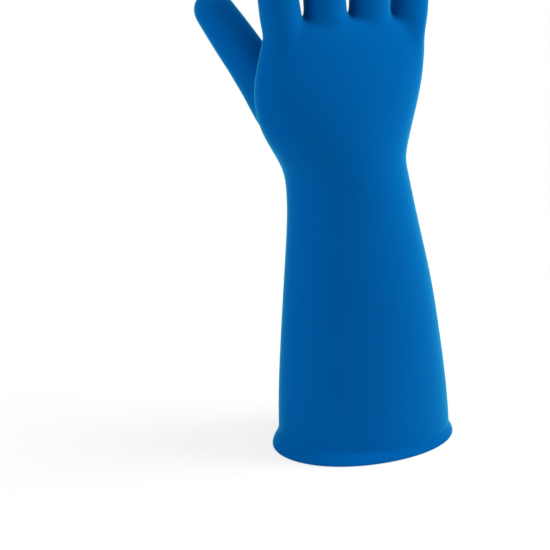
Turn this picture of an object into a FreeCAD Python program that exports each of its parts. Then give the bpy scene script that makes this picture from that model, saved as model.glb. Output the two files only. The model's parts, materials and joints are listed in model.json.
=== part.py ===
import FreeCAD, Part
import math
import os
from FreeCAD import Placement, Rotation, Vector

# Cryogenic glove, right hand, gauntlet length, standing on its cuff with the fingers up.
#
# Frame, in millimetres: the origin is the centre of the cuff mouth, on the plane that the glove stands on. +Z runs up
# the forearm to the fingertips, -X is the thumb side, +X the little finger side, -Y the back and +Y the palm.
#
# The glove is three nested layers: a dipped waterproof skin, an insulating batting and a brushed lining. Each layer is
# divided where the glove bends, at the wrist and at the root of each digit. The gauntlet is the fixed piece, the hand
# bends on it, and the digits bend on the hand.

# --- layers, from the outside in -------------------------------------------------------------------------------
skin_thickness = 1.4
batting_thickness = 3.0
lining_thickness = 0.8
layer_clearance = 0.4       # slack between one layer and the next

# --- gauntlet and wrist, over the skin -------------------------------------------------------------------------
mouth_width = 135.0
mouth_depth = 88.0
wrist_width = 90.0
wrist_depth = 67.0
gauntlet_length = 200.0     # mouth to the narrowest point of the wrist
wrist_shift = -16.0         # narrowest point's centre, towards the thumb from the mouth's centre
width_swell = 1.4           # power of the gauntlet's taper: 1 is a plain cone, more is fuller near the mouth
shift_swell = 1.5           # the same for the way that its centre line leans

# --- palm, over the skin: heights are above the narrowest point of the wrist ------------------------------------
heel_rise = 22.0            # where the wrist opens into the hand
heel_width = 97.0
heel_depth = 66.0
heel_shift = -21.5
ball_rise = 42.0            # ball of the thumb
ball_width = 113.0
ball_depth = 64.0
ball_shift = -23.5
palm_rise = 66.0
palm_depth = 58.0
palm_shift = -2.6           # centre of the palm, from the centre of the row of fingers
palm_waist = 3.0            # how much narrower the palm is than its crown
knuckle_rise = 90.0
knuckle_depth = 48.0
crown_rise = 113.0          # top of the palm, at the webs between the fingers
crown_margin = 2.0          # ledge of the crown around the row of fingers
crown_ease = 1.4            # further ledge at the front and back
palm_edge = 42.0            # little finger side of the row of fingers, from the mouth's centre
round_form = 2.0            # squareness of a section: 2 is an oval, more is nearer to a rectangle
palm_form = 2.2
crown_form = 3.0

# --- digits, over the skin -------------------------------------------------------------------------------------
finger_gap = 1.6            # between one finger's root and the next
index_width = 30.0
index_length = 76.0         # from the palm's crown to the tip
index_splay = -6.0          # degrees, towards the thumb
middle_width = 31.0
middle_length = 86.0
middle_splay = -2.0
ring_width = 30.0
ring_length = 80.0
ring_splay = 2.0
little_width = 27.0
little_length = 61.0
little_splay = 6.0
finger_taper = 0.86         # width near the tip over width at the root
finger_lean = 6.0           # degrees that the fingers lean to the palm
thumb_width = 36.0
thumb_taper = 0.80
thumb_length = 118.0        # along its axis, from its root inside the ball of the thumb
thumb_root_x = -54.0
thumb_root_y = 10.0
thumb_root_rise = 30.0
thumb_splay = -31.0         # degrees, away from the fingers
thumb_lean = 20.0           # degrees, to the palm

# --- where the glove bends -------------------------------------------------------------------------------------
wrist_fold_below = 16.0     # the part that folds, below and above the narrowest point
wrist_fold_above = 20.0
knuckle_fold_length = 25.0  # above the palm's crown, along each finger
thumb_fold_start = 58.0     # from the thumb's root
thumb_fold_length = 24.0
fold_clearance = 0.3        # between a part that folds and its neighbours

# --- cuff edge -------------------------------------------------------------------------------------------------
bead_height = 4.6
bead_thickness = 4.4
bead_round = 2.0            # corner radius: the rest of its foot is the flat that the glove stands on
hem_height = 9.0            # lower edge of the batting and lining, above the mouth
tape_thickness = 0.8
tape_width = 14.0

UP = Vector(0, 0, 1)
RUN_OFF = 12.0              # how far a form runs on past an edge that is cut later
SECTION_POINTS = 16

# depth of each layer's faces under the outside of the skin
batting_outside = skin_thickness + layer_clearance
batting_inside = batting_outside + batting_thickness
lining_outside = batting_inside + layer_clearance
lining_inside = lining_outside + lining_thickness
tape_outside = lining_inside + layer_clearance
tape_inside = tape_outside + tape_thickness
LAYERS = {
    "shell": (0.0, skin_thickness),
    "batting": (batting_outside, batting_inside),
    "lining": (lining_outside, lining_inside),
}

wrist_height = gauntlet_length
crown_height = wrist_height + crown_rise
finger_widths = (index_width, middle_width, ring_width, little_width)
knuckles_width = sum(finger_widths) + 3 * finger_gap
knuckles_centre = palm_edge - knuckles_width / 2
crown_width = knuckles_width + 2 * crown_margin
crown_depth = max(finger_widths) + 2 * (crown_margin + crown_ease)


def section(height, width, depth, centre, form, inset):
    """A closed level section, from an oval towards a rounded rectangle, inset all round."""
    points = []
    for number in range(SECTION_POINTS):
        angle = 2 * math.pi * number / SECTION_POINTS
        across = math.copysign(abs(math.cos(angle)) ** (2 / form), math.cos(angle))
        along = math.copysign(abs(math.sin(angle)) ** (2 / form), math.sin(angle))
        points.append(Vector(centre + (width / 2 - inset) * across, (depth / 2 - inset) * along, height))
    curve = Part.BSplineCurve()
    curve.interpolate(Points=points, PeriodicFlag=True)
    return Part.Wire([curve.toShape()])


def gauntlet_station(share):
    """Height, width, depth and centre of the gauntlet at a share of its length, 0 at the mouth and 1 at the wrist."""
    width = mouth_width + (wrist_width - mouth_width) * share**width_swell
    depth = mouth_depth + (wrist_depth - mouth_depth) * share
    return gauntlet_length * share, width, depth, wrist_shift * share**shift_swell, round_form


def body_form(inset):
    """The gauntlet and palm as one closed form, inset from the outside of the skin."""
    palm_centre = knuckles_centre + palm_shift
    stations = [
        (-RUN_OFF, mouth_width, mouth_depth, 0.0, round_form),
        *[gauntlet_station(share) for share in (0.0, 0.25, 0.5, 0.75, 1.0)],
        (wrist_height + heel_rise, heel_width, heel_depth, heel_shift, round_form),
        (wrist_height + ball_rise, ball_width, ball_depth, ball_shift, round_form),
        (wrist_height + palm_rise, crown_width - palm_waist, palm_depth, palm_centre, palm_form),
        (wrist_height + knuckle_rise, crown_width, knuckle_depth, knuckles_centre, (palm_form + crown_form) / 2),
        (crown_height - inset, crown_width, crown_depth, knuckles_centre, crown_form),
    ]
    return Part.makeLoft([section(*station, inset) for station in stations], True, False)


class Digit:
    """A tapered round stall with a domed tip, on a straight axis from its root."""

    def __init__(self, name, root, splay, lean, width, taper, length, fold_start, fold_length):
        self.name = name
        self.root_radius = width / 2
        self.tip_radius = width * taper / 2
        self.shoulder = length - self.tip_radius
        self.fold_start = fold_start
        self.fold_end = fold_start + fold_length
        turn = Rotation(Vector(0, 1, 0), splay).multiply(Rotation(Vector(1, 0, 0), -lean))
        self.placement = Placement(root, turn)

    def radius(self, distance):
        """Radius of the outside at a distance from the root, short of the dome."""
        return self.root_radius + (self.tip_radius - self.root_radius) * distance / self.shoulder

    def revolve(self, edges):
        """Turns a closed profile about the digit's own axis."""
        solid = Part.Face(Part.Wire(edges)).revolve(Vector(0, 0, 0), UP, 360)
        solid.Placement = self.placement
        return solid

    def plug(self, inset, start, end):
        """The filled form between two distances from the root."""
        corners = [
            Vector(0, 0, start),
            Vector(self.radius(start) - inset, 0, start),
            Vector(self.radius(end) - inset, 0, end),
            Vector(0, 0, end),
        ]
        return self.revolve(Part.makePolygon(corners + corners[:1]).Edges)

    def tube(self, outside, inside, start, end):
        """A layer between two distances from the root, open at both ends."""
        corners = [
            Vector(self.radius(start) - inside, 0, start),
            Vector(self.radius(start) - outside, 0, start),
            Vector(self.radius(end) - outside, 0, end),
            Vector(self.radius(end) - inside, 0, end),
        ]
        return self.revolve(Part.makePolygon(corners + corners[:1]).Edges)

    def domed_plug(self, inset, start):
        """The filled form from a distance from the root to its domed tip."""
        diagonal = math.sqrt(0.5)
        bend = self.tip_radius - inset
        base = Vector(0, 0, start)
        foot = Vector(self.radius(start) - inset, 0, start)
        edge = Vector(bend, 0, self.shoulder)
        bulge = Vector(bend * diagonal, 0, self.shoulder + bend * diagonal)
        top = Vector(0, 0, self.shoulder + bend)
        return self.revolve([
            Part.makeLine(base, foot),
            Part.makeLine(foot, edge),
            Part.Arc(edge, bulge, top).toShape(),
            Part.makeLine(top, base),
        ])

    def stall(self, outside, inside, start):
        """A layer from a distance from the root to its domed tip."""
        return self.domed_plug(outside, start).cut(self.domed_plug(inside, start - RUN_OFF))


def make_fingers():
    """The four fingers, side by side along the palm's crown."""
    lengths = (index_length, middle_length, ring_length, little_length)
    splays = (index_splay, middle_splay, ring_splay, little_splay)
    names = ("index", "middle", "ring", "little")
    fingers = []
    edge = palm_edge - knuckles_width
    for name, width, length, splay in zip(names, finger_widths, lengths, splays):
        root = Vector(edge + width / 2, 0, crown_height)
        finger = Digit(name, root, splay, finger_lean, width, finger_taper, length, 0.0, knuckle_fold_length)
        fingers.append(finger)
        edge += width + finger_gap
    return fingers


def make_thumb():
    """The thumb, which leaves the palm's side."""
    root = Vector(thumb_root_x, thumb_root_y, wrist_height + thumb_root_rise)
    return Digit("thumb", root, thumb_splay, thumb_lean, thumb_width, thumb_taper, thumb_length,
                 thumb_fold_start, thumb_fold_length)


def slab(bottom, top):
    """Everything between two heights."""
    size = 600.0
    return Part.makeBox(size, size, top - bottom, Vector(-size / 2, -size / 2, bottom))


def flat_end(solid, point, normal):
    """The flat face of a solid that lies in a plane."""
    for face in solid.Faces:
        if not isinstance(face.Surface, Part.Plane):
            continue
        level = abs((face.CenterOfMass - point).dot(normal))
        if level < 1e-3 and abs(abs(face.Surface.Axis.dot(normal)) - 1) < 1e-6:
            return face
    raise ValueError("the form has no flat end in that plane")


def hollow(outer, inner, ends):
    """The layer between two nested forms, open at the given flat ends. An end is a point and a normal."""
    faces = []
    outer_ends = [flat_end(outer, *end) for end in ends]
    inner_ends = [flat_end(inner, *end) for end in ends]
    faces += [face for face in outer.Faces if not any(face.isSame(end) for end in outer_ends)]
    faces += [face.reversed() for face in inner.Faces if not any(face.isSame(end) for end in inner_ends)]
    for around, within in zip(outer_ends, inner_ends):
        faces += around.cut(within).Faces
    shell = Part.Shell(faces)
    shell.sewShape()
    solid = Part.Solid(shell)
    return solid if solid.Volume > 0 else solid.reversed()


def band(outside, inside, bottom, top):
    """A layer of the gauntlet between two heights."""
    slice_between = slab(bottom, top)
    outer = body_form(outside).common(slice_between)
    inner = body_form(inside).common(slice_between)
    return hollow(outer, inner, [(UP * bottom, UP), (UP * top, UP)])


def hand_form(inset, bottom, thumb):
    """The palm with the root of the thumb as one form."""
    palm = body_form(inset).common(slab(bottom, 2 * crown_height))
    root = thumb.plug(inset, 0.0, thumb.fold_start)
    return palm.fuse(root).common(slab(bottom, 2 * crown_height)).Solids[0]


def hand_layer(outside, inside, bottom, fingers, thumb):
    """A layer of the palm: open at the wrist, at the thumb and at each finger."""
    thumb_axis = thumb.placement.Rotation.multVec(UP)
    thumb_end = thumb.placement.Base + thumb_axis * thumb.fold_start
    outer = hand_form(outside, bottom, thumb)
    inner = hand_form(inside, bottom, thumb)
    layer = hollow(outer, inner, [(UP * bottom, UP), (thumb_end, thumb_axis)])
    bores = [finger.plug(inside, -RUN_OFF, RUN_OFF) for finger in fingers]
    return layer.cut(bores)


def bead():
    """The rolled edge of the skin: an oval ring with rounded corners, its inside flush with the skin's."""
    inner = Part.Face(section(0.0, mouth_width, mouth_depth, 0.0, round_form, skin_thickness))
    outer = Part.Face(section(0.0, mouth_width, mouth_depth, 0.0, round_form, skin_thickness - bead_thickness))
    height = UP * bead_height
    ring = outer.extrude(height).cut(inner.extrude(height))
    rims = [edge for edge in ring.Edges if edge.BoundBox.ZLength < 1e-6]
    return ring.makeFillet(bead_round, rims)


def export(name, shape):
    """Writes one node, and stops if it is not one sound solid."""
    if len(shape.Solids) != 1 or not shape.isValid() or shape.Volume <= 0:
        raise ValueError(f"{name} is not one sound solid")
    shape.Solids[0].exportStep(os.path.join("parts", name + ".step"))
    print(f"{name}: {shape.Volume / 1000:.2f} cm3", flush=True)


def main():
    os.makedirs("parts", exist_ok=True)
    fingers = make_fingers()
    thumb = make_thumb()
    fold_bottom = wrist_height - wrist_fold_below
    fold_top = wrist_height + wrist_fold_above
    export("rolled_cuff_bead", bead())
    export("liner_hem_tape", band(tape_outside, tape_inside, hem_height, hem_height + tape_width))
    for layer, (outside, inside) in LAYERS.items():
        foot = bead_height + fold_clearance if layer == "shell" else hem_height
        export(f"gauntlet_{layer}", band(outside, inside, foot, fold_bottom - fold_clearance))
        export(f"wrist_fold_{layer}", band(outside, inside, fold_bottom, fold_top))
        export(f"hand_{layer}", hand_layer(outside, inside, fold_top + fold_clearance, fingers, thumb))
        for finger in fingers:
            fold = finger.tube(outside, inside, -RUN_OFF, finger.fold_end - fold_clearance)
            above = slab(crown_height - outside + fold_clearance, 2 * crown_height)
            export(f"{finger.name}_fold_{layer}", fold.common(above))
        thumb_fold = thumb.tube(outside, inside, thumb.fold_start + fold_clearance, thumb.fold_end - fold_clearance)
        export(f"thumb_fold_{layer}", thumb_fold)
        for digit in (*fingers, thumb):
            export(f"{digit.name}_{layer}", digit.stall(outside, inside, digit.fold_end))


main()
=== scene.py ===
import json
import math
from collections import namedtuple
import bpy
from mathutils import Matrix, Vector

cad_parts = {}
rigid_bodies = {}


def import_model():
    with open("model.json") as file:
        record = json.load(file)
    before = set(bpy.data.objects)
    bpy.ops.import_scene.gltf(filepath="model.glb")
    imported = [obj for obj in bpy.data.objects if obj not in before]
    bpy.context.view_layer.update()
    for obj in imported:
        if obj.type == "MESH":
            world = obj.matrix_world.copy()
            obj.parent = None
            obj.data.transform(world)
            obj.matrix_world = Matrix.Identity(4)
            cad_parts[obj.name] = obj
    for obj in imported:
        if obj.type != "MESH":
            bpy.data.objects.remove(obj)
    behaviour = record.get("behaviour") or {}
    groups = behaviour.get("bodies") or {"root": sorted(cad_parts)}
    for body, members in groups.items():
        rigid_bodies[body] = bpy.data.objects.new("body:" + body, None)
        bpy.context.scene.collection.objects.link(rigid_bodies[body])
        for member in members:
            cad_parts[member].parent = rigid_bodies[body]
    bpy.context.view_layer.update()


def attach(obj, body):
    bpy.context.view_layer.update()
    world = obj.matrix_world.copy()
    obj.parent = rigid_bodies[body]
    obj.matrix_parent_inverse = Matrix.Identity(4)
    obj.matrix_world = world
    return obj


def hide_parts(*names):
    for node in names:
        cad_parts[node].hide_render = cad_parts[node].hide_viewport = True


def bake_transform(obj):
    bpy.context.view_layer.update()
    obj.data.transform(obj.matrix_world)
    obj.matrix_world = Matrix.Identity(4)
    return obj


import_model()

bl_info = {
    "name": "Cryogenic glove",
    "version": (1, 0, 0),
    "blender": (4, 5, 0),
    "location": "View3D > Sidebar > Glove",
    "description": "Builds a long cryogenic glove: skin, batting, lining, rolled cuff edge and hem binding",
    "category": "Object",
}

# Sections of the gauntlet and palm over the skin, in metres:
# height, half width, half depth and centre across.
STATIONS = (
    (-0.020, 0.0672, 0.0453, 0.0027),
    (-0.008, 0.0672, 0.0451, 0.0026),
    (0.006, 0.0671, 0.0447, 0.0025),
    (0.040, 0.0656, 0.0434, 0.0002),
    (0.080, 0.0612, 0.0412, -0.0026),
    (0.120, 0.0564, 0.0385, -0.0054),
    (0.155, 0.0505, 0.0357, -0.0092),
    (0.180, 0.0467, 0.0340, -0.0121),
    (0.200, 0.0449, 0.0334, -0.0153),
    (0.208, 0.0450, 0.0332, -0.0175),
    (0.214, 0.0460, 0.0332, -0.0195),
    (0.221, 0.0485, 0.0331, -0.0211),
    (0.238, 0.0560, 0.0322, -0.0244),
    (0.262, 0.0620, 0.0290, -0.0238),
    (0.284, 0.0610, 0.0238, -0.0205),
    (0.302, 0.0595, 0.0176, -0.0188),
    (0.312, 0.0530, 0.0120, -0.0186),
)

# A kind of digit has an outline over the skin, as shares of its length to the dome and of its radius there.
# Below its root it narrows to a foot, a share of its radius. It is cut off from the hand at the first of two
# distances from the root along its axis. Its faces are told from its neighbours' by their reach, the distance
# from that axis.
Kind = namedtuple("Kind", "outline foot fold reach")
FINGER = Kind(
    outline=((0.0, 1.0), (0.2, 0.98), (0.36, 0.95), (0.52, 0.97), (0.7, 0.925), (0.88, 0.895), (1.0, 0.855)),
    foot=0.80, fold=(0.005, 0.024), reach=0.0165)
THUMB = Kind(
    outline=((0.0, 1.12), (0.12, 1.24), (0.25, 1.23), (0.42, 1.09), (0.6, 1.0), (0.8, 0.95), (1.0, 0.87)),
    foot=0.55, fold=(0.063, 0.083), reach=0.0174)

# Digits: kind, root, splay and lean in degrees, radius over the skin, length, and how far the form is buried
# below its root.
Digit = namedtuple("Digit", "kind root splay lean radius length buried")
CROWN = 0.313
DIGITS = {
    "index": Digit(FINGER, (-0.0658, 0.0, CROWN), -6.0, 6.0, 0.0142, 0.0765, 0.045),
    "middle": Digit(FINGER, (-0.0337, 0.0, CROWN), -2.0, 6.0, 0.0148, 0.0865, 0.048),
    "ring": Digit(FINGER, (-0.0016, 0.0, CROWN), 2.0, 6.0, 0.0143, 0.0805, 0.045),
    "little": Digit(FINGER, (0.0285, 0.0, CROWN), 6.0, 6.0, 0.0131, 0.0615, 0.040),
    "thumb": Digit(THUMB, (-0.0455, 0.014, 0.230), -31.0, 20.0, 0.0160, 0.1180, 0.034),
}

# A digit's depth as a share of its width, and the rings of its domed tip, with the degrees between them.
FLATNESS = 0.96
DOME_RINGS = 6
DOME_STEP = 14.5

# Two heights across the wrist, and where the skin's wall starts, inside the rolled edge.
WRIST_FOLD = (0.184, 0.220)
SKIN_FOOT = 0.003

# A digit's faces are looked for from this far below its cut, so that the cut crosses all of them.
BELOW_CUT = 0.008

WHITE = (1.0, 1.0, 1.0, 1.0)

# Soft lights: place, width and height, power in watts, and colour. All of them face the same point.
LIGHTS = {
    "right_softbox": ((0.78, -0.27, 0.86), (0.55, 0.8), 15.6, (1.0, 1.0, 0.90)),
    "left_softbox": ((-1.25, -0.10, 0.95), (0.7, 1.2), 12.0, (1.0, 0.98, 0.92)),
    "front_fill": ((-0.4, -1.9, 0.9), (1.2, 1.2), 1.0, (1.0, 1.0, 1.0)),
    "top_softbox": ((0.1, 0.3, 1.7), (1.2, 1.2), 3.0, (1.0, 1.0, 1.0)),
}
LIGHT_AIM = (-0.02, 0.0, 0.19)
ROOM_STRENGTH = 0.345


class GloveSizes(bpy.types.PropertyGroup):
    """Sizes of the glove's layers and trim"""

    skin: bpy.props.FloatProperty(
        name="Skin", description="Thickness of the dipped skin", default=0.0014, unit="LENGTH")
    batting: bpy.props.FloatProperty(
        name="Batting", description="Thickness of the insulation", default=0.0030, unit="LENGTH")
    lining: bpy.props.FloatProperty(
        name="Lining", description="Thickness of the brushed lining", default=0.0008, unit="LENGTH")
    slack: bpy.props.FloatProperty(
        name="Slack", description="Gap between one layer and the next", default=0.0004, unit="LENGTH")
    hem: bpy.props.FloatProperty(
        name="Hem height", description="Lower edge of the liner, above the mouth",
        default=0.0092, unit="LENGTH")
    tape: bpy.props.FloatProperty(
        name="Tape width", description="Width of the binding inside the mouth", default=0.0138, unit="LENGTH")
    roll: bpy.props.FloatProperty(
        name="Roll height", description="Height of the rolled edge where it is fullest",
        default=0.0135, unit="LENGTH")
    roll_out: bpy.props.FloatProperty(
        name="Roll bulge", description="How far the fullest part of the roll stands out",
        default=0.0044, unit="LENGTH")
    stitches: bpy.props.IntProperty(
        name="Stitches", description="Zigzag stitches round the hem", default=72)


class GloveColours(bpy.types.PropertyGroup):
    """Colours of the glove's materials"""

    skin: bpy.props.FloatVectorProperty(
        name="Skin", description="Dipped skin", default=(0.0, 0.090, 0.340), subtype="COLOR", size=3)
    batting: bpy.props.FloatVectorProperty(
        name="Batting", description="Insulation", default=(0.79, 0.77, 0.71), subtype="COLOR", size=3)
    lining: bpy.props.FloatVectorProperty(
        name="Lining", description="Brushed lining", default=(0.66, 0.70, 0.73), subtype="COLOR", size=3)
    tape: bpy.props.FloatVectorProperty(
        name="Tape", description="Hem binding and its thread", default=(0.46, 0.50, 0.55),
        subtype="COLOR", size=3)
    floor: bpy.props.FloatVectorProperty(
        name="Floor", description="Floor and backdrop", default=(0.86, 0.86, 0.86), subtype="COLOR", size=3)


# --- materials ---------------------------------------------------------------


class Value:
    """A number in a node tree that takes part in sums written as Python expressions."""

    def __init__(self, recipe, socket):
        self.recipe = recipe
        self.socket = socket

    def work(self, operation, *terms):
        node = self.recipe.node("ShaderNodeMath", {"operation": operation}, dict(enumerate(terms)))
        return Value(self.recipe, node.outputs[0])

    def __add__(self, other):
        return self.work("ADD", self, other)

    def __radd__(self, other):
        return self.work("ADD", other, self)

    def __sub__(self, other):
        return self.work("SUBTRACT", self, other)

    def __rsub__(self, other):
        return self.work("SUBTRACT", other, self)

    def __mul__(self, other):
        return self.work("MULTIPLY", self, other)

    def __rmul__(self, other):
        return self.work("MULTIPLY", other, self)

    def sine(self):
        return self.work("SINE", self)

    def root(self):
        return self.work("SQRT", self)

    def at_most(self, limit):
        return self.work("MINIMUM", self, limit)

    def step(self, low, high):
        """0 below the low value, 1 above the high one, and a smooth rise between them."""
        node = self.recipe.node(
            "ShaderNodeMapRange", {"interpolation_type": "SMOOTHSTEP"},
            {"Value": self, "From Min": low, "From Max": high})
        return Value(self.recipe, node.outputs["Result"])


class Recipe:
    """A node tree under construction, for a material or for the world."""

    def __init__(self, tree):
        self.tree = tree

    def fill(self, socket, value):
        """Gives a socket a value, or a link from another node."""
        source = value.socket if isinstance(value, Value) else value
        if isinstance(source, bpy.types.NodeSocket):
            self.tree.links.new(source, socket)
        else:
            socket.default_value = value

    def node(self, kind, settings=None, inputs=None):
        """Adds a node. Its settings are set first, because some of them change which sockets it has."""
        node = self.tree.nodes.new(kind)
        for name, value in (settings or {}).items():
            setattr(node, name, value)
        for name, value in (inputs or {}).items():
            self.fill(node.inputs[name], value)
        return node

    def seen(self):
        """1 for camera, mirror and glass rays, and 0 for the rays that carry light between surfaces."""
        path = self.node("ShaderNodeLightPath")
        camera, mirror, glass = (
            Value(self, path.outputs[f"Is {kind} Ray"]) for kind in ("Camera", "Glossy", "Transmission"))
        return (camera + mirror + glass).at_most(1.0)

    def finish_with(self, output, lit, plain, share):
        """Sends a lit shader to the tree's output, with a share of a plain one mixed in."""
        mix = self.node("ShaderNodeMixShader", {}, {0: share, 1: lit, 2: plain})
        self.fill(self.tree.nodes[output].inputs["Surface"], mix.outputs[0])


class Finish(Recipe):
    """A material under construction: one surface shader, and whatever feeds it."""

    def __init__(self, name, **constants):
        self.material = bpy.data.materials.new(name)
        self.material.use_nodes = True
        super().__init__(self.material.node_tree)
        self.shader = self.tree.nodes["Principled BSDF"]
        for name_of_socket, value in constants.items():
            self.feed(name_of_socket.replace("_", " "), value)
        self.place = self.node("ShaderNodeTexCoord").outputs["Object"]

    def feed(self, name, source):
        self.fill(self.shader.inputs[name], source)

    def noise(self, scale, detail, roughness=0.5):
        node = self.node("ShaderNodeTexNoise", {}, {
            "Vector": self.place, "Scale": scale, "Detail": detail, "Roughness": roughness})
        return Value(self, node.outputs["Fac"])

    def axes(self):
        node = self.node("ShaderNodeSeparateXYZ", {}, {"Vector": self.place})
        return [Value(self, output) for output in node.outputs]

    def between(self, low, high, share):
        """A colour between two others. A Mix node's colours are its inputs 6 and 7 and its output 2."""
        node = self.node(
            "ShaderNodeMix", {"data_type": "RGBA"}, {"Factor": share, 6: (*low, 1.0), 7: (*high, 1.0)})
        return node.outputs[2]

    def bump(self, height, strength, distance):
        node = self.node("ShaderNodeBump", {}, {"Height": height, "Strength": strength, "Distance": distance})
        self.feed("Normal", node.outputs["Normal"])


def shade(colour, factor):
    """A colour made lighter or darker."""
    return [min(1.0, channel * factor) for channel in colour]


def skin_finish(colour):
    """Satin dipped rubber: a faint unevenness from the dip, and a very fine grain."""
    finish = Finish(
        "satin_blue_rubber", Specular_IOR_Level=0.0, Sheen_Weight=1.0, Sheen_Roughness=0.35,
        Sheen_Tint=(0.06, 0.70, 0.92, 1.0))
    cloud = finish.noise(scale=11.0, detail=3.0)
    grain = finish.noise(scale=1500.0, detail=2.0)
    drift = finish.noise(scale=60.0, detail=3.0)
    finish.feed("Base Color", finish.between(shade(colour, 0.93), shade(colour, 1.06), cloud))
    finish.feed("Roughness", 0.40 + (cloud - 0.5) * 0.08 + (grain - 0.5) * 0.05)
    finish.bump(grain * 0.6 + drift * 1.2, strength=0.12, distance=0.0003)
    return finish.material


def lining_finish(colour):
    """Brushed knit: fine ribs up the arm, broken up by raised fibre."""
    finish = Finish("brushed_knit", Specular_IOR_Level=0.25, Sheen_Weight=0.35, Sheen_Roughness=0.6)
    x, y, z = finish.axes()
    fuzz = finish.noise(scale=900.0, detail=4.0, roughness=0.7)
    ribs = (x * 3900.0 + fuzz * 1.5).sine() * (y * 3900.0).sine()
    courses = (z * 4400.0 + fuzz).sine()
    finish.feed("Base Color", finish.between(shade(colour, 0.82), colour, fuzz.step(0.3, 0.7)))
    finish.feed("Roughness", 0.86 + fuzz * 0.1)
    finish.bump(ribs * 0.3 + courses * 0.3 + fuzz * 1.1, strength=0.55, distance=0.0005)
    return finish.material


def batting_finish(colour):
    """Needled felt."""
    finish = Finish("needled_batting", Specular_IOR_Level=0.2, Sheen_Weight=0.3)
    tufts = finish.noise(scale=240.0, detail=5.0, roughness=0.7)
    finish.feed("Base Color", finish.between(shade(colour, 0.8), colour, tufts.step(0.3, 0.7)))
    finish.feed("Roughness", 0.9 + tufts * 0.08)
    finish.bump(tufts, strength=0.8, distance=0.0009)
    return finish.material


def tape_finish(colour):
    """Plain woven binding."""
    finish = Finish("woven_binding", Specular_IOR_Level=0.3, Sheen_Weight=0.2)
    x, y, z = finish.axes()
    slub = finish.noise(scale=700.0, detail=3.0)
    weave = (x * 5200.0 + y * 5200.0).sine() * (z * 6000.0).sine()
    finish.feed("Base Color", finish.between(shade(colour, 0.78), colour, weave * 0.3 + slub))
    finish.feed("Roughness", 0.74 + slub * 0.15)
    finish.bump(weave * 0.5 + slub * 0.5, strength=0.6, distance=0.0003)
    return finish.material


def thread_finish(colour):
    """Twisted polyester thread."""
    finish = Finish("sewing_thread", Specular_IOR_Level=0.4)
    x, y, z = finish.axes()
    twist = ((x + y + z) * 14000.0).sine()
    finish.feed("Base Color", finish.between(shade(colour, 1.35), shade(colour, 1.75), twist * 0.5 + 0.5))
    finish.feed("Roughness", 0.5 + twist * 0.06)
    finish.bump(twist, strength=0.4, distance=0.0001)
    return finish.material


def paint(piece, material):
    piece.data.materials.clear()
    piece.data.materials.append(material)


# --- modelling ---------------------------------------------------------------


def pick(*objects):
    """Leaves only these objects selected, the first one active."""
    if bpy.context.mode != "OBJECT":
        bpy.ops.object.mode_set(mode="OBJECT")
    bpy.ops.object.select_all(action="DESELECT")
    for item in objects:
        item.select_set(True)
    bpy.context.view_layer.objects.active = objects[0]
    return objects[0]


def modify(piece, kind, **settings):
    """Adds a modifier to a piece and applies it."""
    pick(piece)
    bpy.ops.object.modifier_add(type=kind)
    modifier = piece.modifiers[-1]
    for name, value in settings.items():
        setattr(modifier, name, value)
    bpy.ops.object.modifier_apply(modifier=modifier.name)


def drawn_up(name, rings, vertices):
    """A closed form: a disc drawn up through level rings.

    Each ring is a height, half width, half depth and centre across.
    """
    bpy.ops.mesh.primitive_circle_add(vertices=vertices, radius=1.0, fill_type="NGON")
    piece = bpy.context.object
    piece.name = name
    bpy.ops.object.mode_set(mode="EDIT")
    bpy.ops.mesh.select_all(action="SELECT")
    height, wide, deep, across = rings[0]
    bpy.ops.transform.resize(value=(wide, deep, 1.0), center_override=(0.0, 0.0, 0.0))
    bpy.ops.transform.translate(value=(across, 0.0, height))
    for ring in rings[1:]:
        bpy.ops.mesh.extrude_region_move()
        bpy.ops.transform.resize(
            value=(ring[1] / wide, ring[2] / deep, 1.0), center_override=(across, 0.0, height))
        bpy.ops.transform.translate(value=(ring[3] - across, 0.0, ring[0] - height))
        height, wide, deep, across = ring
    bpy.ops.mesh.select_all(action="SELECT")
    bpy.ops.mesh.normals_make_consistent(inside=False)
    bpy.ops.object.mode_set(mode="OBJECT")
    return piece


def digit_matrix(name):
    """Takes a digit from its own frame, where its axis points up from its root, to its place on the hand."""
    digit = DIGITS[name]
    splay = Matrix.Rotation(math.radians(digit.splay), 4, "Y")
    lean = Matrix.Rotation(math.radians(-digit.lean), 4, "X")
    return Matrix.Translation(digit.root) @ (splay @ lean)


def digit_form(name, inset):
    """One digit as a closed form with a rounded tip, run down into the palm."""
    digit = DIGITS[name]
    outline = digit.kind.outline
    foot = digit.kind.foot
    half_way = (foot + outline[0][1]) / 2
    tip = digit.radius * outline[-1][1]
    shoulder = digit.length - tip
    rings = [
        (-digit.buried, digit.radius * foot - inset),
        (-digit.buried / 2, digit.radius * half_way - inset)]
    rings += [(shoulder * share, digit.radius * wide - inset) for share, wide in outline]
    for step in range(1, DOME_RINGS + 1):
        angle = math.radians(step * DOME_STEP)
        rings.append((shoulder + (tip - inset) * math.sin(angle), (tip - inset) * math.cos(angle)))
    piece = drawn_up("digit", [(height, wide, wide * FLATNESS, 0.0) for height, wide in rings], vertices=32)
    piece.matrix_world = digit_matrix(name)
    bpy.ops.object.transform_apply(location=True, rotation=True, scale=True)
    return piece


def glove_form(name, inset, cell, smoothing):
    """The gauntlet, palm and digits grown together as one closed surface, inset from the outside of the skin.

    The cell is the size of its faces, and smoothing is how many times it is smoothed.
    """
    rings = [(height, wide - inset, deep - inset, across) for height, wide, deep, across in STATIONS]
    crown, *around = rings.pop()
    rings.append((crown - inset, *around))
    body = drawn_up(name, rings, vertices=64)
    modify(body, "SUBSURF", levels=2, render_levels=2)
    parts = [body] + [digit_form(digit, inset) for digit in DIGITS]
    pick(*parts)
    bpy.ops.object.join()
    modify(body, "REMESH", mode="VOXEL", voxel_size=cell, use_smooth_shade=True)
    modify(body, "SMOOTH", factor=0.5, iterations=smoothing)
    return body


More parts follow.
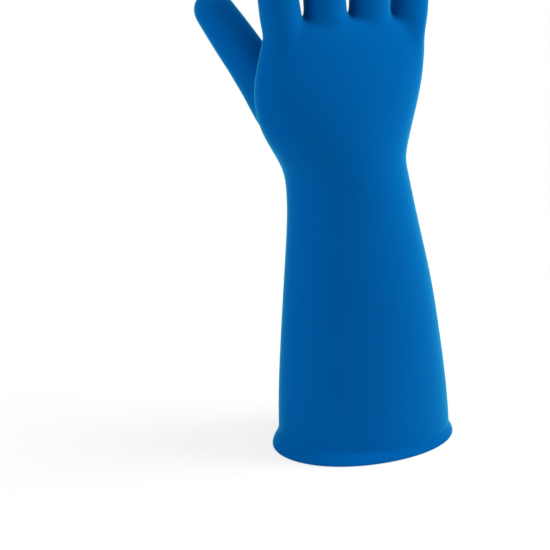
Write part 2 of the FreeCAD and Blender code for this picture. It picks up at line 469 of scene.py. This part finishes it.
def choose_faces(piece, test):
    """Enters edit mode with only the faces selected whose centres pass a test."""
    pick(piece)
    bpy.ops.object.mode_set(mode="EDIT")
    bpy.ops.mesh.select_mode(type="FACE")
    bpy.ops.mesh.select_all(action="DESELECT")
    bpy.ops.object.mode_set(mode="OBJECT")
    chosen = [test(face.center) for face in piece.data.polygons]
    if not any(chosen):
        raise RuntimeError(f"{piece.name}: no face is where one was looked for")
    piece.data.polygons.foreach_set("select", chosen)
    bpy.ops.object.mode_set(mode="EDIT")


def part_off(piece, name, near, point, normal):
    """Cuts the faces near a digit at a plane, and makes what is beyond it a piece of its own."""
    choose_faces(piece, near)
    bpy.ops.mesh.bisect(plane_co=point, plane_no=normal)
    choose_faces(piece, lambda centre: near(centre) and (centre - point).dot(normal) > 0)
    before = set(bpy.data.objects)
    bpy.ops.mesh.separate(type="SELECTED")
    bpy.ops.object.mode_set(mode="OBJECT")
    new = (set(bpy.data.objects) - before).pop()
    new.name = name
    return new


def near_axis(name, beyond):
    """A test for places round a digit's axis, further than a distance from its root."""
    inverse = digit_matrix(name).inverted()
    reach = DIGITS[name].kind.reach

    def test(centre):
        local = inverse @ centre
        return local.z > beyond and math.hypot(local.x, local.y) < reach

    return test


def cut_layer(whole, suffix, mouth, thickness):
    """Opens a grown form at the mouth, parts the digits off, and thickens each piece inwards."""
    pick(whole)
    bpy.ops.object.mode_set(mode="EDIT")
    bpy.ops.mesh.select_all(action="SELECT")
    bpy.ops.mesh.bisect(plane_co=(0.0, 0.0, mouth), plane_no=(0.0, 0.0, 1.0), clear_inner=True)
    bpy.ops.object.mode_set(mode="OBJECT")
    pieces = {"hand": whole}
    up = Vector((0.0, 0.0, 1.0))
    for name, digit in DIGITS.items():
        start = digit.kind.fold[0]
        # The thumb is cut square to its own axis, and the fingers level with one another.
        if name == "thumb":
            matrix = digit_matrix(name)
            point = matrix @ Vector((0.0, 0.0, start))
            normal = matrix.to_3x3() @ up
        else:
            point = Vector((0.0, 0.0, CROWN + start))
            normal = up
        near = near_axis(name, start - BELOW_CUT)
        pieces[name] = part_off(whole, f"{name}_{suffix}", near, point, normal)
    whole.name = f"gauntlet_and_palm_{suffix}"
    for piece in pieces.values():
        modify(piece, "SOLIDIFY", thickness=thickness, offset=-1.0, use_even_offset=False)
        pick(piece)
        bpy.ops.object.shade_smooth_by_angle(angle=math.radians(50))
    return pieces


def ride_layer(pieces, layer, material):
    """Gives each piece its finish, and hides the parts that it stands for."""
    for name, piece in pieces.items():
        paint(piece, material)
        if name == "hand":
            low, high = WRIST_FOLD
            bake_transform(piece)
            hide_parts(f"gauntlet_{layer}", f"wrist_fold_{layer}", f"hand_{layer}")
            continue
        matrix = digit_matrix(name)
        low, high = (matrix @ Vector((0.0, 0.0, distance)) for distance in DIGITS[name].kind.fold)
        body = "thumb" if name == "thumb" else f"{name}_finger"
        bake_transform(piece)
        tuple(low)
        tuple(high)
        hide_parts(f"{name}_fold_{layer}", f"{name}_{layer}")


def station_at(height):
    """Half width, half depth and centre of the gauntlet at a height, between its stations."""
    for below, above in zip(STATIONS, STATIONS[1:]):
        if below[0] <= height <= above[0]:
            share = (height - below[0]) / (above[0] - below[0])
            return [low + (high - low) * share for low, high in zip(below[1:], above[1:])]
    raise ValueError("the height is outside the gauntlet")


def wall_point(angle, height, out):
    """A point on the gauntlet's wall at an angle round the arm, moved outwards."""
    wide, deep, across = station_at(height)
    return Vector((across + (wide + out) * math.cos(angle), (deep + out) * math.sin(angle), height))


def ring_piece(name, sections, place, count):
    """A closed ring: an edge loop drawn out section by section, then joined back to its start.

    Place gives the point at an angle round the ring, on the section of a number.
    """
    bpy.ops.mesh.primitive_circle_add(vertices=count, radius=1.0, fill_type="NOTHING")
    piece = bpy.context.object
    piece.name = name
    bpy.ops.object.mode_set(mode="EDIT")
    bpy.ops.mesh.select_mode(type="VERT")
    bpy.ops.mesh.select_all(action="SELECT")
    for _ in range(sections - 1):
        bpy.ops.mesh.extrude_region_move()
    bpy.ops.object.mode_set(mode="OBJECT")
    for number, vertex in enumerate(piece.data.vertices):
        angle = 2 * math.pi * (number % count) / count
        vertex.co = place(angle, number // count)
    bpy.ops.object.mode_set(mode="EDIT")
    bpy.ops.mesh.select_mode(type="EDGE")
    bpy.ops.mesh.select_all(action="SELECT")
    bpy.ops.mesh.region_to_loop()
    bpy.ops.mesh.bridge_edge_loops()
    bpy.ops.mesh.select_all(action="SELECT")
    bpy.ops.mesh.normals_make_consistent(inside=False)
    bpy.ops.object.mode_set(mode="OBJECT")
    return piece


class GLOVE_OT_skin(bpy.types.Operator):
    """Make the dipped skin: gauntlet and palm in one, and each digit"""

    bl_idname = "glove.skin"
    bl_label = "Skin"

    def execute(self, context):
        sizes = context.scene.glove_sizes
        whole = glove_form("skin", inset=0.0, cell=0.00172, smoothing=24)
        pieces = cut_layer(whole, "skin", SKIN_FOOT, sizes.skin)
        ride_layer(pieces, "shell", skin_finish(context.scene.glove_colours.skin))
        return {"FINISHED"}


class GLOVE_OT_liner(bpy.types.Operator):
    """Make the insulating batting and the brushed lining inside the skin"""

    bl_idname = "glove.liner"
    bl_label = "Liner"

    def execute(self, context):
        sizes = context.scene.glove_sizes
        colours = context.scene.glove_colours
        depth = sizes.skin + sizes.slack
        whole = glove_form("batting", depth, cell=0.0028, smoothing=8)
        pieces = cut_layer(whole, "batting_layer", sizes.hem, sizes.batting)
        ride_layer(pieces, "batting", batting_finish(colours.batting))
        depth += sizes.batting + sizes.slack
        whole = glove_form("lining", depth, cell=0.0024, smoothing=11)
        pieces = cut_layer(whole, "lining_layer", sizes.hem, sizes.lining)
        ride_layer(pieces, "lining", lining_finish(colours.lining))
        return {"FINISHED"}


class GLOVE_OT_cuff(bpy.types.Operator):
    """Make the rolled edge of the cuff, fuller on the thumb side"""

    bl_idname = "glove.cuff"
    bl_label = "Rolled edge"

    def execute(self, context):
        sizes = context.scene.glove_sizes
        # Down the outside of the roll, as shares of its height and of its bulge, then up its inside, as a
        # share of its height and a distance in from the outside of the skin.
        outside = (
            (1.18, -0.10), (0.98, 0.00), (0.80, 0.16), (0.62, 0.42), (0.44, 0.70), (0.28, 0.90),
            (0.13, 1.00), (0.045, 1.00), (0.0, 0.88))
        inside = ((0.0, 0.0006), (0.3, 0.0014), (1.18, 0.0010))
        # Away from the thumb the roll is lower and flatter. Where the thumb side meets the back of the hand
        # it stands out a little further.
        plain_height = 0.48
        plain_bulge = 0.0025
        extra_bulge = 0.0024
        extra_turn = math.radians(140)

        def place(angle, step):
            full = ((1 - math.cos(angle)) / 2) ** 3
            extra = max(0.0, math.cos(angle + extra_turn)) ** 4
            height = sizes.roll * (plain_height + (1 - plain_height) * full)
            out = plain_bulge + (sizes.roll_out - plain_bulge) * full + extra_bulge * extra
            if step < len(outside):
                up, share = outside[step]
                return wall_point(angle, height * up, out * share)
            up, inset = inside[step - len(outside)]
            return wall_point(angle, height * up, -inset)

        piece = ring_piece("rolled_edge", len(outside) + len(inside), place, count=160)
        modify(piece, "SUBSURF", levels=1, render_levels=1)
        pick(piece)
        bpy.ops.object.shade_smooth()
        paint(piece, bpy.data.materials["satin_blue_rubber"])
        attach(piece, "gauntlet")
        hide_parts("rolled_cuff_bead")
        return {"FINISHED"}


class GLOVE_OT_hem(bpy.types.Operator):
    """Make the binding on the liner's lower edge, and its zigzag stitches"""

    bl_idname = "glove.hem"
    bl_label = "Hem binding"

    def execute(self, context):
        sizes = context.scene.glove_sizes
        colours = context.scene.glove_colours
        outer = sizes.skin + sizes.batting + sizes.lining + 4 * sizes.slack
        thick = 0.0008
        inner = outer + thick
        lip_gap = 0.0004
        low = sizes.hem - lip_gap
        top = low + sizes.tape
        # How far in from the outside of the skin the turned lip reaches: its top, its end and its foot.
        lip_top = sizes.skin + 0.0009
        lip_end = sizes.skin + 0.0007
        lip_foot = sizes.skin + 0.0010
        # Height and depth in from the outside of the skin: down the lining, round the lip, and back up.
        outline = (
            (top, outer), (low, outer), (low, lip_top), (low - thick * 0.5, lip_end), (low - thick, lip_foot),
            (low - thick, inner - 0.0006), (low - thick * 0.6, inner - 0.0001),
            (low + 0.001, inner), (top - 0.0006, inner), (top, inner - 0.0002))

        def place(angle, step):
            height, inset = outline[step]
            return wall_point(angle, height, -inset)

        tape = ring_piece("hem_binding", len(outline), place, count=160)
        pick(tape)
        bpy.ops.object.shade_smooth_by_angle(angle=math.radians(40))
        paint(tape, tape_finish(colours.tape))
        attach(tape, "gauntlet")
        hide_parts("liner_hem_tape")

        # The thread swings above and below a middle line, proud of the tape there and sunk in it between.
        middle = low + sizes.tape * 0.62
        swing = 0.0022
        proud = 0.0001
        sunk = 0.0003
        bpy.ops.curve.primitive_nurbs_circle_add()
        thread = bpy.context.object
        thread.name = "hem_stitches"
        thread.data.splines.clear()
        spline = thread.data.splines.new("POLY")
        spline.points.add(4 * sizes.stitches - 1)
        spline.use_cyclic_u = True
        for number, point in enumerate(spline.points):
            angle = 2 * math.pi * (number / len(spline.points))
            side = (0, 1, 0, -1)[number % 4]
            raised = proud if side else -sunk
            point.co = (*wall_point(angle, middle + side * swing, -inner - raised), 1.0)
        thread.data.dimensions = "3D"
        thread.data.bevel_depth = 0.00028
        thread.data.bevel_resolution = 2
        pick(thread)
        bpy.ops.object.convert(target="MESH")
        bpy.ops.object.shade_smooth()
        paint(thread, thread_finish(colours.tape))
        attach(thread, "gauntlet")
        return {"FINISHED"}


# --- stage -------------------------------------------------------------------


def floor_finish(colour):
    """Pale matt floor that keeps a light shadow, and fades to the white backdrop away from the glove."""
    finish = Finish("pale_floor", Base_Color=(*colour, 1.0), Roughness=0.9, Specular_IOR_Level=0.0)
    x, y, _ = finish.axes()
    reach = (x * x + y * y).root()
    plainness = 0.74
    share = finish.seen() * (plainness + reach.step(0.10, 0.42) * (1 - plainness))
    white = finish.node("ShaderNodeEmission", {}, {"Color": WHITE, "Strength": 1.0})
    finish.finish_with("Material Output", finish.shader.outputs[0], white.outputs[0], share)
    return finish.material


def pale_room():
    """An even room that lights the glove a little, and is seen as plain white."""
    world = bpy.data.worlds.new("pale_room")
    world.use_nodes = True
    recipe = Recipe(world.node_tree)
    room = recipe.tree.nodes["Background"]
    recipe.fill(room.inputs["Color"], WHITE)
    recipe.fill(room.inputs["Strength"], ROOM_STRENGTH)
    white = recipe.node("ShaderNodeBackground", {}, {"Color": WHITE, "Strength": 1.0})
    recipe.finish_with("World Output", room.outputs[0], white.outputs[0], recipe.seen())
    return world


def soft_light(name, place, size, power, colour):
    """A rectangular softbox that faces the glove."""
    bpy.ops.object.light_add(type="AREA", location=place)
    light = bpy.context.object
    light.name = name
    light.data.shape = "RECTANGLE"
    light.data.size, light.data.size_y = size
    light.data.energy = power
    light.data.color = colour
    light.rotation_euler = (Vector(LIGHT_AIM) - Vector(place)).to_track_quat("-Z", "Y").to_euler()


def front_camera():
    """A long lens that sees the back of the hand, from the thumb side and a little above."""
    turn = math.radians(-21.0)
    rise = math.radians(18.0)
    distance = 0.935
    sideways = -0.0651
    upwards = 0.1269
    right = Vector((math.cos(turn), math.sin(turn), 0.0))
    target = right * sideways + Vector((0.0, 0.0, upwards))
    back = Vector((math.sin(turn) * math.cos(rise), -math.cos(turn) * math.cos(rise), math.sin(rise)))
    bpy.ops.object.camera_add(location=target + back * distance)
    camera = bpy.context.object
    camera.data.lens = 85.0
    camera.data.clip_start = 0.05
    camera.rotation_euler = (-back).to_track_quat("-Z", "Y").to_euler()
    return camera


class GLOVE_OT_stage(bpy.types.Operator):
    """Lay the floor, set the soft lights and place the camera"""

    bl_idname = "glove.stage"
    bl_label = "Stage"

    def execute(self, context):
        scene = context.scene
        bpy.ops.mesh.primitive_plane_add(size=6.0, location=(0.0, 0.0, -0.0002))
        floor = bpy.context.object
        floor.name = "floor"
        paint(floor, floor_finish(scene.glove_colours.floor))

        for name, settings in LIGHTS.items():
            soft_light(name, *settings)
        scene.world = pale_room()
        scene.camera = front_camera()
        scene.view_settings.view_transform = "Standard"
        return {"FINISHED"}


class GLOVE_PT_sidebar(bpy.types.Panel):
    """Sizes, colours and building steps of the glove"""

    bl_idname = "GLOVE_PT_sidebar"
    bl_label = "Cryogenic glove"
    bl_space_type = "VIEW_3D"
    bl_region_type = "UI"
    bl_category = "Glove"

    def draw(self, context):
        for group in (context.scene.glove_sizes, context.scene.glove_colours):
            column = self.layout.column()
            for name in group.__annotations__:
                column.prop(group, name)
        for operator in OPERATORS:
            self.layout.operator(operator.bl_idname)


GROUPS = (GloveSizes, GloveColours)
OPERATORS = (GLOVE_OT_skin, GLOVE_OT_liner, GLOVE_OT_cuff, GLOVE_OT_hem, GLOVE_OT_stage)
CLASSES = (*GROUPS, *OPERATORS, GLOVE_PT_sidebar)


def register():
    for item in CLASSES:
        bpy.utils.register_class(item)
    bpy.types.Scene.glove_sizes = bpy.props.PointerProperty(type=GloveSizes)
    bpy.types.Scene.glove_colours = bpy.props.PointerProperty(type=GloveColours)


def unregister():
    del bpy.types.Scene.glove_colours
    del bpy.types.Scene.glove_sizes
    for item in reversed(CLASSES):
        bpy.utils.unregister_class(item)


def main():
    register()
    bpy.ops.glove.skin()
    bpy.ops.glove.liner()
    bpy.ops.glove.cuff()
    bpy.ops.glove.hem()
    bpy.ops.glove.stage()


if __name__ == "__main__":
    main()
